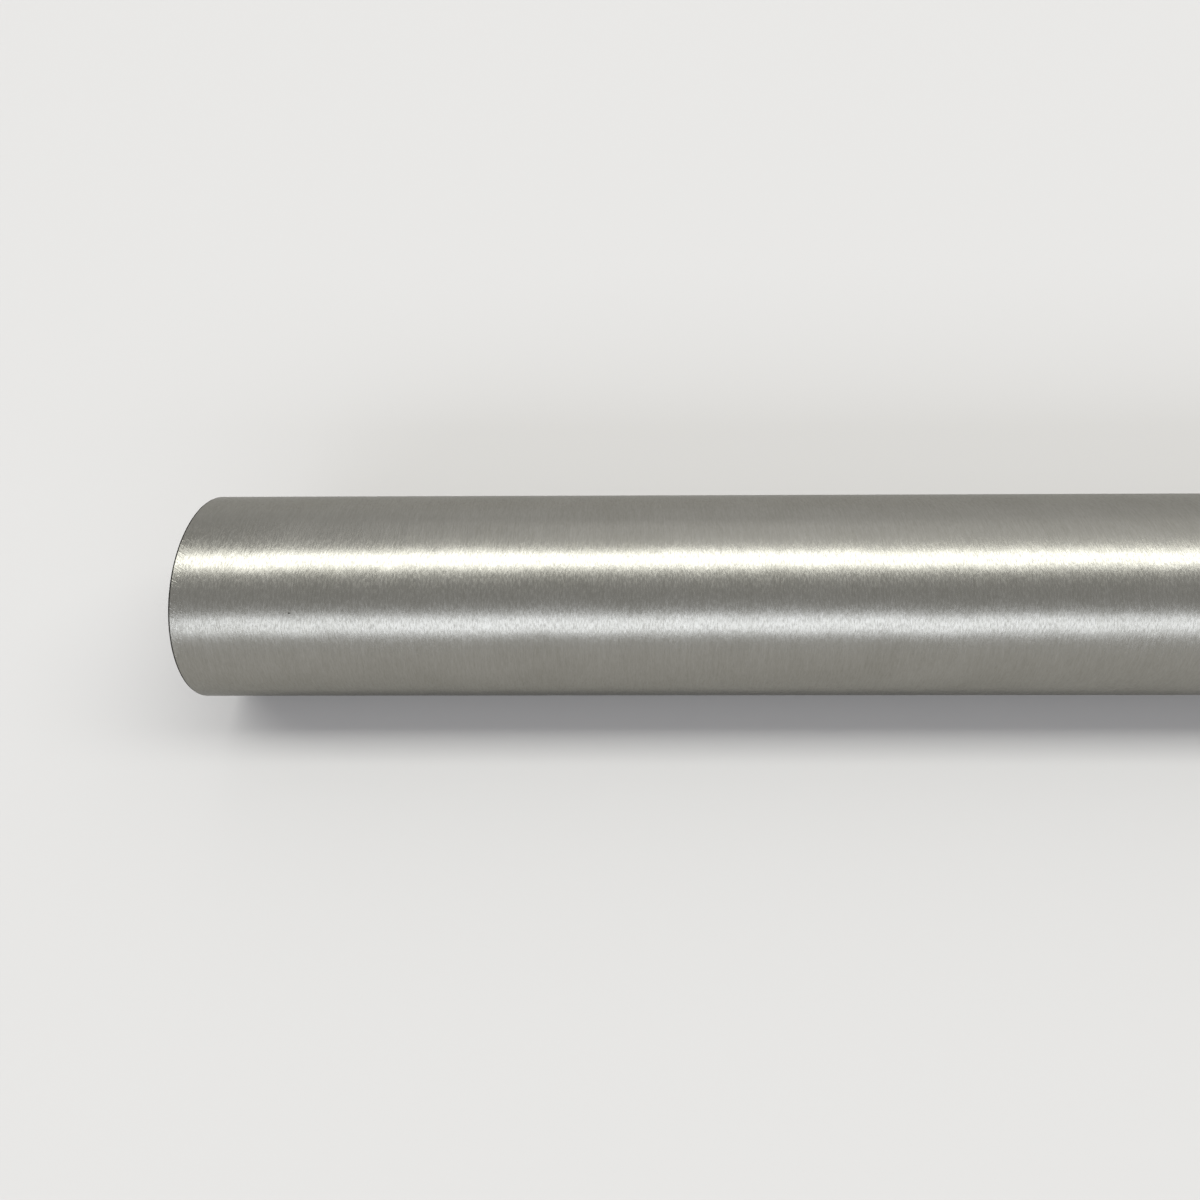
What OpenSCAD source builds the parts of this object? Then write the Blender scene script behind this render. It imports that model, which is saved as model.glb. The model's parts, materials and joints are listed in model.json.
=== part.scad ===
// Curtain pole: a round brushed-steel tube, sawn square to length and deburred at both ends.
// It lies along X, with the middle of its axis at the origin.

/* [Tube] */
// Length of the pole, from one sawn end to the other
pole_length = 1200; // [500:50:3000]
// Outside diameter of the tube
pole_diameter = 28; // [16:1:50]
// Thickness of the tube wall
wall_thickness = 1; // [0.8:0.1:2]

/* [Sawn ends] */
// Radius that the outer edge of each end is dressed to
outer_edge_radius = 0.3; // [0.1:0.05:0.4]
// Width of the deburring chamfer round the mouth of the bore
bore_chamfer = 0.2; // [0.1:0.05:0.3]

/* [Hidden] */
$fn = 128;
pole_radius = pole_diameter / 2;
bore_radius = pole_radius - wall_thickness;
// How far a cut runs past the faces that it takes away
overrun = 0.1;
brushed_steel = "#949189";

// The corner that dressing takes off the outer edge of an end at y = 0, leaving a quarter round
module dressed_corner() {
    translate([pole_radius - outer_edge_radius, -outer_edge_radius])
        difference() {
            square(outer_edge_radius + overrun);
            circle(outer_edge_radius);
        }
}

// The corner that deburring takes off the mouth of the bore of an end at y = 0, at 45 degrees
module deburred_corner() {
    reach = bore_chamfer + overrun;
    translate([bore_radius - overrun, overrun])
        polygon([[0, 0], [reach + overrun, 0], [0, -reach - overrun]]);
}

// Section of the wall on one side of the axis: x is the radius and y runs along the pole
module wall_section() {
    difference() {
        translate([bore_radius, -pole_length / 2])
            square([wall_thickness, pole_length]);
        for (flip = [0, 1])
            mirror([0, flip])
                translate([0, pole_length / 2]) {
                    dressed_corner();
                    deburred_corner();
                }
    }
}

module pole_tube() {
    color(brushed_steel)
        rotate([0, 90, 0])
            rotate_extrude()
                wall_section();
}

pole_tube();
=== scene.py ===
"""Curtain pole of brushed steel tube, lying on a pale floor in soft studio light."""

import json
import math

import bmesh
import bpy
from mathutils import Matrix, Vector


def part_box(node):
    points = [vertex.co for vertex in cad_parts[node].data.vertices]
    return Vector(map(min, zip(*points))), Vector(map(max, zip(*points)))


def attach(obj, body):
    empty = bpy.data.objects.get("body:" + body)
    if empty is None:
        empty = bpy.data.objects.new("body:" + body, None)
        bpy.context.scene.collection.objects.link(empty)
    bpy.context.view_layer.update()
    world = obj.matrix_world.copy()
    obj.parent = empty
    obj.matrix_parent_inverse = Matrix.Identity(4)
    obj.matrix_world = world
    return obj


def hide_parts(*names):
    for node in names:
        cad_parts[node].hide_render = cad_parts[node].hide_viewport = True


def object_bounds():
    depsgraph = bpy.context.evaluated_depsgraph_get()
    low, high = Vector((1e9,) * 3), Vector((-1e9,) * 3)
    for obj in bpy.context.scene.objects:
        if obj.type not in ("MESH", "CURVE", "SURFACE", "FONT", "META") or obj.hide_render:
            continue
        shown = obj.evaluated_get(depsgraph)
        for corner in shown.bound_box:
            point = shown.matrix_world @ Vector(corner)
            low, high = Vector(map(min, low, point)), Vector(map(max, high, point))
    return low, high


MM = 0.001

# Photograph: a pinhole camera fitted to the pole's outline, with the picture 1200 pixels square.
# Its elevation is free, because a round tube looks the same from every side.
PICTURE_PX = 1200
FOCAL_PX = 824.0
PRINCIPAL_ROW_PX = 454.7
SENSOR_MM = 36.0
CAMERA_TO_AXIS = 119.5 * MM
CAMERA_FROM_LEFT_END = 56.1 * MM
CAMERA_ELEVATION = math.radians(62)
CAMERA_YAW = 0.0111
CAMERA_PITCH = 0.1669
CAMERA_ROLL = -0.0022
CAMERA_NEAREST = 1 * MM

# Tube mesh: how finely the wall is divided, and the angle from which an edge is sharp
SEGMENTS_ROUND = 256
WALL_STEPS = 96
LIP_STEPS = 6
SHARP_ANGLE = math.radians(30)

# Unrolled map of the tube, under the name that the export bakes on. Its parts are shares of its height:
# the outside in rows, then the bore, then the rims.
MAP_NAME = "OFBake"
MAP_ROWS = 8
MAP_ROW = 0.107
MAP_BORE = 0.088
MAP_RIM = 0.003
MAP_GAP = 0.002

# Weld bead that seam-welded tube keeps inside its bore
BEAD_ANGLE = math.radians(200)
BEAD_WIDTH = 2.2 * MM
BEAD_HEIGHT = 0.12 * MM

# Small pit in the brushed face, drawn as painted shade: dark inside its inner radius and gone outside
# its outer one
PIT_FROM_END = 15.5 * MM
PIT_ANGLE = CAMERA_ELEVATION - math.radians(9.75)
PIT_INNER = 0.066 * MM
PIT_OUTER = 0.143 * MM

# Marks of each finish, as their size along the pole and their size round it. A fine belt leaves
# scratches under 0.1 mm wide, which are too fine to show, so grit, strokes and dull marks are drawn
# as coarse as they need to show.
GRIT = (0.16 * MM, 0.9 * MM)
STROKES = (0.30 * MM, 3.5 * MM)
DULL_MARKS = (0.17 * MM, 0.6 * MM)
CLOUDS = (9 * MM, 6 * MM)
WAVES = (9 * MM, 30 * MM)
FILE_MARKS = (0.2 * MM, 0.6 * MM)
SAW_MARKS = (2 * MM, 0.25 * MM)
ROLL_LINES = (40 * MM, 0.5 * MM)

# Depth of each relief, from the lowest value of its noise to the highest, which are seldom reached
FURROW_DEPTH = 0.030 * MM
WAVE_DEPTH = 0.36 * MM
SAW_DEPTH = 0.01 * MM

# Shares of the marks in the brushed face's tone and in its relief
GRIT_IN_TONE = 0.5
CLOUDS_IN_TONE = 0.3
STROKES_IN_RELIEF = 0.3
NICKS_IN_RELIEF = 0.3

# Nicks that dressing left beside each cut end
NICK_WIDTH = 0.2 * MM
NICK_LENGTH = 1.4 * MM
NICK_SLANT = math.radians(33)
NICK_REACH = 2.6 * MM

# Most of a noise lies between these values
NOISE_LOW = 0.3
NOISE_HIGH = 0.7

# Floor: a wide disc
FLOOR_RADIUS = 9.0
FLOOR_SIDES = 128

# Light from all round: its strength at the horizon and overhead, and how far up the fade ends, where 1
# is straight up
HORIZON_LIGHT = 0.80
OVERHEAD_LIGHT = 0.54
FADE_END = 0.5

# Lamps stand far off, so that the pole mirrors them as straight bands
STRIP_DISTANCE = 15.0
BOARD_DISTANCE = 17.0

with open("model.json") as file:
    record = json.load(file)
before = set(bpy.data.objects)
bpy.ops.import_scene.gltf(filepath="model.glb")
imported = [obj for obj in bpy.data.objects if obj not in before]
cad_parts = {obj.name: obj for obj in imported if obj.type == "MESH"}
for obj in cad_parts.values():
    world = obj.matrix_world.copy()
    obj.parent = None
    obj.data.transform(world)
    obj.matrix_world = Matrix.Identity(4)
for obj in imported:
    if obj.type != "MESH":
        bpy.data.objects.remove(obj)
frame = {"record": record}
cad_low, cad_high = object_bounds()
scene = bpy.context.scene

# Tube sizes, from the frame
mounts = {mount["name"]: mount["dims"] for mount in frame["record"]["mounts"]}
tube_low, tube_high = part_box("pole_tube")
LEFT_END = tube_low.x
RIGHT_END = tube_high.x
LENGTH = RIGHT_END - LEFT_END
OUTER_RADIUS = mounts["pole_outside"]["r_mm"] * MM
BORE_RADIUS = mounts["left_end_bore"]["r_mm"] * MM
LIP_RADIUS = (LENGTH - mounts["pole_outside"]["length_mm"] * MM) / 2
BORE_CHAMFER = (LENGTH - mounts["left_end_bore"]["length_mm"] * MM) / 2
CAMERA_X = LEFT_END + CAMERA_FROM_LEFT_END

# Finishes of the tube, in the order of its material slots
BRUSHED, DRESSED, SAWN, MILL = range(4)


def linear(colour):
    """Linear RGBA of an sRGB hex colour."""
    parts = [int(colour[i:i + 2], 16) / 255 for i in (1, 3, 5)]
    return [c / 12.92 if c <= 0.04045 else ((c + 0.055) / 1.055) ** 2.4 for c in parts] + [1.0]


def add(tree, kind, inputs=(), **settings):
    """A node with its settings; each input takes a value or the socket that feeds it."""
    node = tree.nodes.new(kind)
    for name, value in settings.items():
        setattr(node, name, value)
    for name, value in dict(inputs).items():
        if isinstance(value, bpy.types.NodeSocket):
            tree.links.new(value, node.inputs[name])
        else:
            node.inputs[name].default_value = value
    return node


def new_material(name):
    """A new material and its node tree, which is still empty."""
    material = bpy.data.materials.new(name)
    material.use_nodes = True
    material.node_tree.nodes.clear()
    return material, material.node_tree


def scratches(tree, size, shift, detail=2.0):
    """Noise drawn out into marks of this size along the pole and round it. The shift sets one
    pattern apart from another."""
    along, around = size
    place = add(tree, "ShaderNodeTexCoord").outputs["Object"]
    cells = add(tree, "ShaderNodeVectorMath", operation="MULTIPLY_ADD", inputs={
        0: place, 1: (1 / along, 1 / around, 1 / around), 2: (shift, shift, shift)})
    return add(tree, "ShaderNodeTexNoise", inputs={
        "Vector": cells.outputs["Vector"], "Scale": 1.0, "Detail": detail}).outputs["Fac"]


def brushed_steel():
    """Stainless steel tube brushed round with an abrasive belt: a warm grey satin whose
    highlights stretch along the pole and fray where short scratches cross their edges."""
    material, tree = new_material("brushed_stainless_steel")
    grit = scratches(tree, GRIT, shift=3.0, detail=1.0)
    strokes = scratches(tree, STROKES, shift=11.0)
    clouds = scratches(tree, CLOUDS, shift=23.0)
    dull_marks = scratches(tree, DULL_MARKS, shift=37.0, detail=1.0)
    waves = scratches(tree, WAVES, shift=53.0, detail=3.0)

    # Tone: fine scratches over faint clouds, and the painted shade of the pit
    brushing = add(tree, "ShaderNodeMix", data_type="FLOAT", inputs={
        "Factor": GRIT_IN_TONE, "A": strokes, "B": grit})
    tone = add(tree, "ShaderNodeMix", data_type="FLOAT", inputs={
        "Factor": CLOUDS_IN_TONE, "A": brushing.outputs["Result"], "B": clouds})
    clean = add(tree, "ShaderNodeMix", data_type="RGBA", inputs={
        "Factor": tone.outputs["Result"], "A": linear("#7e7c73"), "B": linear("#a5a39e")})
    # Painted shade of the pit: the colour goes nearly black where its mask is one
    colour = add(tree, "ShaderNodeMix", data_type="RGBA", inputs={
        "Factor": pit_painted_shade(tree), "A": clean.outputs["Result"], "B": linear("#3a3936")})

    # Gloss: smooth for the most part, with duller marks
    rough = add(tree, "ShaderNodeMapRange", inputs={
        "Value": dull_marks, "From Min": 0.42, "From Max": 0.72, "To Min": 0.31, "To Max": 0.46})

    # Relief: furrows round the tube, nicks beside the cut ends, and slow waves that sway the highlights
    furrows = add(tree, "ShaderNodeMix", data_type="FLOAT", inputs={
        "Factor": STROKES_IN_RELIEF, "A": grit, "B": strokes})
    nicked = add(tree, "ShaderNodeMath", operation="MULTIPLY_ADD", inputs={
        0: end_nicks(tree), 1: NICKS_IN_RELIEF, 2: furrows.outputs["Result"]})
    relief = add(tree, "ShaderNodeMath", operation="MULTIPLY_ADD", inputs={
        0: waves, 1: WAVE_DEPTH / FURROW_DEPTH, 2: nicked.outputs["Value"]})
    bump = add(tree, "ShaderNodeBump", inputs={
        "Height": relief.outputs["Value"], "Strength": 1.0, "Distance": FURROW_DEPTH})

    round_tube = add(tree, "ShaderNodeTangent", direction_type="RADIAL", axis="X")
    steel = add(tree, "ShaderNodeBsdfPrincipled", inputs={
        "Base Color": colour.outputs["Result"], "Metallic": 1.0, "Roughness": rough.outputs["Result"],
        "Specular Tint": linear("#dadad8"), "Anisotropic": 0.7, "Anisotropic Rotation": 0.25,
        "Tangent": round_tube.outputs["Tangent"], "Normal": bump.outputs["Normal"]})
    add(tree, "ShaderNodeOutputMaterial", inputs={"Surface": steel.outputs["BSDF"]})
    return material


def pit_painted_shade(tree):
    """One where the painted shade of the small pit near the left end is, and nought elsewhere."""
    place = add(tree, "ShaderNodeTexCoord").outputs["Object"]
    spot = (LEFT_END + PIT_FROM_END,
            -OUTER_RADIUS * math.cos(PIT_ANGLE),
            OUTER_RADIUS * math.sin(PIT_ANGLE))
    far = add(tree, "ShaderNodeVectorMath", operation="DISTANCE", inputs={0: place, 1: spot})
    return add(tree, "ShaderNodeMapRange", inputs={
        "Value": far.outputs["Value"], "From Min": PIT_INNER, "From Max": PIT_OUTER,
        "To Min": 1.0, "To Max": 0.0}).outputs["Result"]


def end_nicks(tree):
    """One on the slanting nicks that the file left beside each cut end, and nought away from them."""
    place = add(tree, "ShaderNodeTexCoord").outputs["Object"]
    slant = add(tree, "ShaderNodeVectorRotate", rotation_type="Z_AXIS", inputs={
        "Vector": place, "Angle": NICK_SLANT})
    cells = add(tree, "ShaderNodeVectorMath", operation="MULTIPLY", inputs={
        0: slant.outputs["Vector"], 1: (1 / NICK_LENGTH, 1 / NICK_WIDTH, 1 / NICK_WIDTH)})
    marks = add(tree, "ShaderNodeTexNoise", inputs={
        "Vector": cells.outputs["Vector"], "Scale": 1.0, "Detail": 1.0})
    cut = add(tree, "ShaderNodeMapRange", inputs={
        "Value": marks.outputs["Fac"], "From Min": 0.54, "From Max": 0.66, "To Min": 0.0, "To Max": 1.0})
    along = add(tree, "ShaderNodeSeparateXYZ", inputs={"Vector": place}).outputs["X"]
    from_middle = add(tree, "ShaderNodeMath", operation="ABSOLUTE", inputs={0: along})
    near_end = add(tree, "ShaderNodeMapRange", inputs={
        "Value": from_middle.outputs["Value"],
        "From Min": LENGTH / 2 - NICK_REACH, "From Max": LENGTH / 2 - LIP_RADIUS,
        "To Min": 0.0, "To Max": 1.0})
    return add(tree, "ShaderNodeMath", operation="MULTIPLY", inputs={
        0: cut.outputs["Result"], 1: near_end.outputs["Result"]}).outputs["Value"]


def dressed_lip_painted_shade():
    """Steel edge dressed by hand with a file: a thin dull line round the end, made darker than the wall
    with painted shade.
    """
    material, tree = new_material("file_dressed_steel_and_painted_shade")
    marks = scratches(tree, FILE_MARKS, shift=31.0)
    rough = add(tree, "ShaderNodeMapRange", inputs={
        "Value": marks, "From Min": NOISE_LOW, "From Max": NOISE_HIGH, "To Min": 0.40, "To Max": 0.55})
    # Painted shade: the lip's colour is made nearly black to draw the dark line round the end
    colour = add(tree, "ShaderNodeMix", data_type="RGBA", inputs={
        "Factor": marks, "A": linear("#32312e"), "B": linear("#4c4a46")})
    steel = add(tree, "ShaderNodeBsdfPrincipled", inputs={
        "Base Color": colour.outputs["Result"], "Metallic": 1.0, "Roughness": rough.outputs["Result"],
        "Specular Tint": linear("#a0a09e")})
    add(tree, "ShaderNodeOutputMaterial", inputs={"Surface": steel.outputs["BSDF"]})
    return material


def sawn_steel():
    """Sawn and deburred steel: the bare ring of the cut end, brighter and coarser than the wall."""
    material, tree = new_material("sawn_steel")
    marks = scratches(tree, SAW_MARKS, shift=5.0)
    rough = add(tree, "ShaderNodeMapRange", inputs={
        "Value": marks, "From Min": NOISE_LOW, "From Max": NOISE_HIGH, "To Min": 0.28, "To Max": 0.45})
    colour = add(tree, "ShaderNodeMix", data_type="RGBA", inputs={
        "Factor": marks, "A": linear("#8a8882"), "B": linear("#aaa8a2")})
    bump = add(tree, "ShaderNodeBump", inputs={"Height": marks, "Strength": 1.0, "Distance": SAW_DEPTH})
    steel = add(tree, "ShaderNodeBsdfPrincipled", inputs={
        "Base Color": colour.outputs["Result"], "Metallic": 1.0, "Roughness": rough.outputs["Result"],
        "Normal": bump.outputs["Normal"]})
    add(tree, "ShaderNodeOutputMaterial", inputs={"Surface": steel.outputs["BSDF"]})
    return material


def mill_steel():
    """Rolled strip as it left the mill, inside the bore: dull grey, with lines along the strip."""
    material, tree = new_material("mill_finish_steel")
    lines = scratches(tree, ROLL_LINES, shift=7.0)
    rough = add(tree, "ShaderNodeMapRange", inputs={
        "Value": lines, "From Min": NOISE_LOW, "From Max": NOISE_HIGH, "To Min": 0.42, "To Max": 0.58})
    colour = add(tree, "ShaderNodeMix", data_type="RGBA", inputs={
        "Factor": lines, "A": linear("#92908b"), "B": linear("#aba9a4")})
    steel = add(tree, "ShaderNodeBsdfPrincipled", inputs={
        "Base Color": colour.outputs["Result"], "Metallic": 1.0, "Roughness": rough.outputs["Result"]})
    add(tree, "ShaderNodeOutputMaterial", inputs={"Surface": steel.outputs["BSDF"]})
    return material


def floor_board():
    """Matt painted board: plain, pale and without pattern."""
    material, tree = new_material("matt_white_board")
    board = add(tree, "ShaderNodeBsdfPrincipled", inputs={
        "Base Color": linear("#bdbbba"), "Roughness": 0.9, "Specular IOR Level": 0.1})
    add(tree, "ShaderNodeOutputMaterial", inputs={"Surface": board.outputs["BSDF"]})
    return material


# Pole
def tube_profile():
    """The wall's section as (x, radius, finish of the stretch that starts there), going round once
    from the left rim."""
    steps = [i / WALL_STEPS for i in range(WALL_STEPS)]
    quarter = [math.pi / 2 * i / LIP_STEPS for i in range(LIP_STEPS + 1)]
    rim = OUTER_RADIUS - LIP_RADIUS
    mouth = BORE_RADIUS + BORE_CHAMFER
    lip = [(LIP_RADIUS * (1 - math.sin(a)), rim + LIP_RADIUS * math.cos(a)) for a in quarter]
    left_lip = [(LEFT_END + inset, radius, DRESSED) for inset, radius in lip[:0:-1]]
    outside = [(LEFT_END + LIP_RADIUS + (LENGTH - 2 * LIP_RADIUS) * t, OUTER_RADIUS, BRUSHED)
               for t in steps]
    right_lip = [(RIGHT_END - inset, radius, DRESSED) for inset, radius in lip[:-1]]
    right_rim = [(RIGHT_END, rim, SAWN), (RIGHT_END, mouth, SAWN)]
    bore = [(RIGHT_END - BORE_CHAMFER - (LENGTH - 2 * BORE_CHAMFER) * t, BORE_RADIUS, MILL)
            for t in steps]
    left_rim = [(LEFT_END + BORE_CHAMFER, BORE_RADIUS, SAWN), (LEFT_END, mouth, SAWN)]
    return left_lip + outside + right_lip + right_rim + bore + left_rim


def map_tiles(profile):
    """Each stretch's tile on the unrolled map, as its corner, its side along the section and its side
    round the tube. The outside lies in rows, so that its brushing stays fine along the pole."""
    rims_start = MAP_ROWS * MAP_ROW + MAP_BORE + MAP_GAP
    laid = {BRUSHED: 0, MILL: 0, SAWN: 0}
    tiles = []
    for _, _, finish in profile:
        part = SAWN if finish == DRESSED else finish
        count = laid[part]
        laid[part] += 1
        if part == BRUSHED:
            row, column = divmod(count, WALL_STEPS // MAP_ROWS)
            side = MAP_ROWS / WALL_STEPS
            tiles.append(((column * side, row * MAP_ROW), (side, 0), (0, MAP_ROW - MAP_GAP)))
        elif part == MILL:
            tiles.append(((count / WALL_STEPS, MAP_ROWS * MAP_ROW), (1 / WALL_STEPS, 0), (0, MAP_BORE)))
        else:
            tiles.append(((0, rims_start + count * MAP_RIM), (0, MAP_RIM), (1, 0)))
    return [[Vector(side) for side in tile] for tile in tiles]


def bead_depth(angle):
    """How far the weld bead stands into the bore at this angle."""
    off = math.remainder(angle - BEAD_ANGLE, 2 * math.pi) * BORE_RADIUS / (BEAD_WIDTH / 2)
    return BEAD_HEIGHT * math.exp(-off * off)


def ring(mesh, x, radius):
    """The points of one ring of the tube. Rings of the bore take in the weld bead."""
    points = []
    for i in range(SEGMENTS_ROUND):
        angle = 2 * math.pi * i / SEGMENTS_ROUND
        reach = radius - bead_depth(angle) if radius == BORE_RADIUS else radius
        points.append(mesh.verts.new((x, reach * math.cos(angle), reach * math.sin(angle))))
    return points


def spun_tube():
    """The tube's mesh, spun from its wall section, with its unrolled map."""
    mesh = bmesh.new()
    unrolled = mesh.loops.layers.uv.new(MAP_NAME)
    profile = tube_profile()
    tiles = map_tiles(profile)
    rings = [ring(mesh, x, radius) for x, radius, _ in profile]
    for k, (_, _, finish) in enumerate(profile):
        here = rings[k]
        there = rings[(k + 1) % len(rings)]
        corner, along, around = tiles[k]
        for i in range(SEGMENTS_ROUND):
            j = (i + 1) % SEGMENTS_ROUND
            face = mesh.faces.new((here[i], here[j], there[j], there[i]))
            face.material_index = finish
            face.smooth = True
            start = corner + around * (i / SEGMENTS_ROUND)
            end = corner + around * ((i + 1) / SEGMENTS_ROUND)
            for loop, spot in zip(face.loops, (start, end, end + along, start + along)):
                loop[unrolled].uv = spot
    data = bpy.data.meshes.new("pole")
    mesh.to_mesh(data)
    mesh.free()
    return data


def make_pole():
    """The pole, which stands for the whole tube."""
    data = spun_tube()
    pole = bpy.data.objects.new("pole", data)
    scene.collection.objects.link(pole)
    for material in (brushed_steel(), dressed_lip_painted_shade(), sawn_steel(), mill_steel()):
        data.materials.append(material)
    data.set_sharp_from_angle(angle=SHARP_ANGLE)
    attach(pole, "root")
    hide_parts("pole_tube")


# Stage
def make_floor():
    """A wide round floor that the pole lies on."""
    mesh = bmesh.new()
    bmesh.ops.create_circle(mesh, cap_ends=True, segments=FLOOR_SIDES, radius=FLOOR_RADIUS)
    data = bpy.data.meshes.new("floor")
    mesh.to_mesh(data)
    mesh.free()
    floor = bpy.data.objects.new("floor", data)
    floor.location.z = cad_low.z
    scene.collection.objects.link(floor)
    data.materials.append(floor_board())


def make_strip(name, elevation, distance, width, left, right, radiance, colour):
    """A long soft light parallel to the pole, reaching this far left and right of the camera.
    Its elevation turns from the near horizon over the top."""
    length = left + right
    lamp = bpy.data.lights.new(name, "AREA")
    lamp.shape = "RECTANGLE"
    lamp.size = length
    lamp.size_y = width
    lamp.energy = radiance * math.pi * width * length
    lamp.color = linear(colour)[:3]
    strip = bpy.data.objects.new(name, lamp)
    around = Matrix.Rotation(-elevation, 4, "X")
    facing = Matrix.Rotation(math.pi / 2, 4, "X")
    strip.matrix_world = (Matrix.Translation((CAMERA_X + (right - left) / 2, 0, 0)) @ around
                          @ Matrix.Translation((0, -distance, 0)) @ facing)
    strip.visible_camera = False
    scene.collection.objects.link(strip)


def make_lamps():
    """Two strips that the pole mirrors as its bright bands, and two dim boards behind it that lift the
    grey of its far side. The boards end soon on the left, where that grey is darker."""
    make_strip("overhead_strip", elevation=math.radians(100.5), distance=STRIP_DISTANCE, width=4.65,
               left=20.0, right=21.0, radiance=5.8, colour="#fdfffb")
    make_strip("window_strip", elevation=math.radians(27.5), distance=STRIP_DISTANCE, width=4.95,
               left=14.0, right=21.0, radiance=3.25, colour="#eef4ff")
    make_strip("far_board", elevation=math.radians(131), distance=BOARD_DISTANCE, width=12.0,
               left=4.3, right=21.0, radiance=0.55, colour="#ffffff")
    make_strip("low_board", elevation=math.radians(161), distance=BOARD_DISTANCE, width=6.6,
               left=4.3, right=21.0, radiance=0.19, colour="#ffffff")


def make_world():
    """Soft light from all round, as bright as the floor at the horizon and fading overhead."""
    world = bpy.data.worlds.new("studio")
    world.use_nodes = True
    tree = world.node_tree
    tree.nodes.clear()
    way = add(tree, "ShaderNodeTexCoord").outputs["Generated"]
    height = add(tree, "ShaderNodeSeparateXYZ", inputs={"Vector": way}).outputs["Z"]
    radiance = add(tree, "ShaderNodeMapRange", inputs={
        "Value": height, "From Min": 0.0, "From Max": FADE_END,
        "To Min": HORIZON_LIGHT, "To Max": OVERHEAD_LIGHT})
    light = add(tree, "ShaderNodeBackground", inputs={
        "Color": linear("#ffffff"), "Strength": radiance.outputs["Result"]})
    add(tree, "ShaderNodeOutputWorld", inputs={"Surface": light.outputs["Background"]})
    scene.world = world


def make_camera():
    """The photograph's camera, turned up round the pole's axis to look down on the floor."""
    lens = bpy.data.cameras.new("photo_camera")
    lens.sensor_width = SENSOR_MM
    lens.lens = FOCAL_PX / PICTURE_PX * SENSOR_MM
    lens.shift_y = -(0.5 - PRINCIPAL_ROW_PX / PICTURE_PX)
    lens.clip_start = CAMERA_NEAREST
    camera = bpy.data.objects.new("photo_camera", lens)
    around = Matrix.Rotation(-CAMERA_ELEVATION, 4, "X")
    facing = Matrix.Rotation(math.pi / 2, 4, "X")
    aim = (Matrix.Rotation(CAMERA_YAW, 4, "Y") @ Matrix.Rotation(CAMERA_PITCH, 4, "X")
           @ Matrix.Rotation(CAMERA_ROLL, 4, "Z"))
    camera.matrix_world = around @ Matrix.Translation((CAMERA_X, -CAMERA_TO_AXIS, 0)) @ facing @ aim
    scene.collection.objects.link(camera)
    scene.camera = camera


make_camera()
make_floor()
make_world()
make_lamps()
make_pole()

scene.view_settings.view_transform = "Standard"
